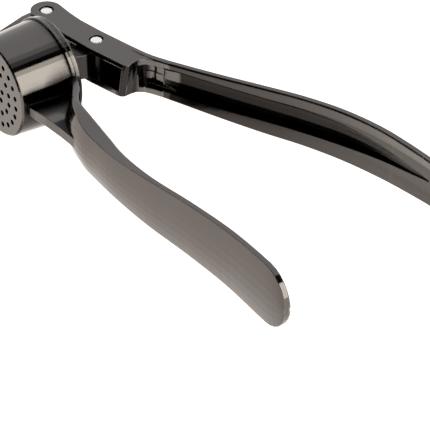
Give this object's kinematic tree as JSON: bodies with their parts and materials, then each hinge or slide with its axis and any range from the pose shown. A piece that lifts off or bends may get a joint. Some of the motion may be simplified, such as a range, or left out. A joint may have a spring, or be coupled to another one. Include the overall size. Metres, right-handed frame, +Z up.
{
  "type": "garlic press",
  "caption": "Hand-held cast metal garlic press with a perforated cup, a hinged lever and a pivoting plunger.",
  "frame": {"origin": "middle of the underside of the bounding box, with the press lying on its side", "axes": "+X from the hinge along the hopper arm's handle, +Y from the sieve towards the lever arm, +Z up, along both rivets"},
  "size_m": [0.1732, 0.0872, 0.0358],
  "materials": {
    "hopper_gunmetal": "polished gunmetal plating on a zinc casting",
    "lever_gunmetal": "polished gunmetal plating on a zinc casting",
    "plunger_gunmetal": "gunmetal plating, less polished",
    "rivet_steel": "bright polished steel"
  },
  "bodies": {
    "hopper": {"hopper_arm": "hopper_gunmetal"},
    "lever": {"lever_arm": "lever_gunmetal", "hinge_rivet": "rivet_steel", "plunger_rivet": "rivet_steel"},
    "plunger": {"plunger": "plunger_gunmetal"}
  },
  "joints": [
    {"name": "lever_hinge", "type": "hinge", "parent": "hopper", "child": "lever", "pos_m": [-0.08136, -0.01041, 0.01788], "axis": [0, 0, 1], "range_deg": [-17.5, 36]},
    {"name": "plunger_hinge", "type": "hinge", "parent": "lever", "child": "plunger", "pos_m": [-0.05736, -0.00661, 0.01788], "axis": [0, 0, 1], "range_deg": [-30, 15]}
  ],
  "couplings": [
    {"joint": "plunger_hinge", "follows": "lever_hinge", "ratio": -0.8}
  ]
}
